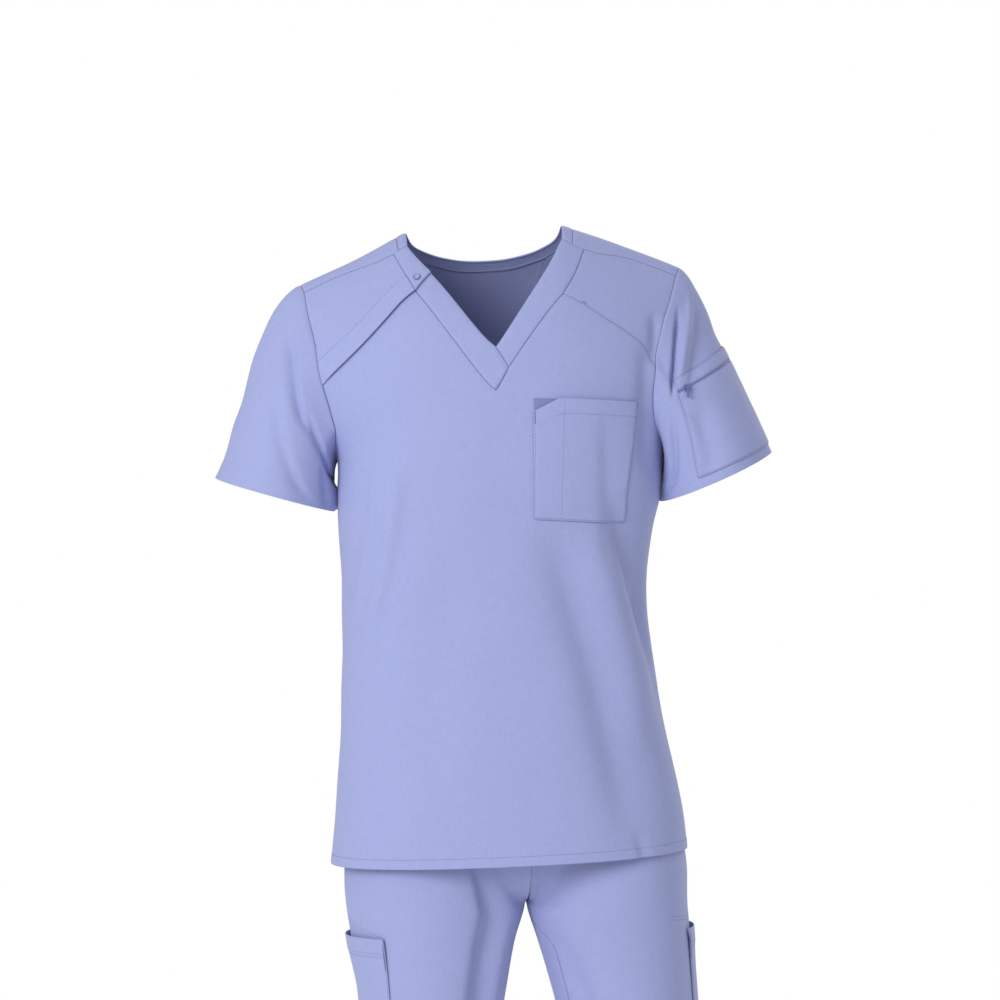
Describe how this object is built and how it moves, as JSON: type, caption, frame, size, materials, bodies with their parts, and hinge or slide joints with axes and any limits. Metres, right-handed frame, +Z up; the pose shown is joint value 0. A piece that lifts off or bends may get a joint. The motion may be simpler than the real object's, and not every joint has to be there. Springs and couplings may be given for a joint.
{
  "type": "medical scrubs",
  "caption": "Short-sleeved V-neck scrub top with shoulder flap and pockets over straight cargo trousers, hollow and posed as worn.",
  "frame": {"origin": "midway between the two neck points of the shoulders, on the ridge of the shoulders, where the top hangs on its wearer", "axes": "+X towards the wearer's left, -Y to the front, +Z up"},
  "size_m": [0.6452, 0.2681, 1.5527],
  "materials": {
    "cloth": "matt plain weave, pale periwinkle blue",
    "cloth_shade": "matt, a darker blue",
    "zip": "matt zip tape",
    "zip_metal": "satin, dyed to match",
    "snap": "smooth, dyed to match"
  },
  "bodies": {
    "garments": {"front": "cloth", "back": "cloth", "sleeve_left": "cloth", "sleeve_right": "cloth", "shoulder_yoke_left": "cloth", "shoulder_flap_right": "cloth", "neckband_right": "cloth", "neckband_right_top": "cloth", "neckband_left": "cloth", "neckband_back": "cloth", "waistband": "cloth", "trouser_front_right": "cloth", "trouser_back_right": "cloth", "trouser_front_left": "cloth", "trouser_back_left": "cloth", "chest_pocket": "cloth", "sleeve_pocket_band": "cloth", "sleeve_pocket": "cloth", "cargo_pocket_right": "cloth", "cargo_pocket_left": "cloth", "zip_slider": "zip_metal", "chest_pocket_lining": "cloth_shade", "sleeve_zip_tape": "zip", "snap_ring": "snap"},
    "pull_tab": {"zip_pull": "zip_metal"}
  },
  "joints": [
    {"name": "zip_pull_hinge", "type": "hinge", "parent": "garments", "child": "pull_tab", "pos_m": [0.23476, -0.07726, -0.18889], "axis": [-0.9845, -0.1753, 0], "range_deg": [0, 150]}
  ]
}
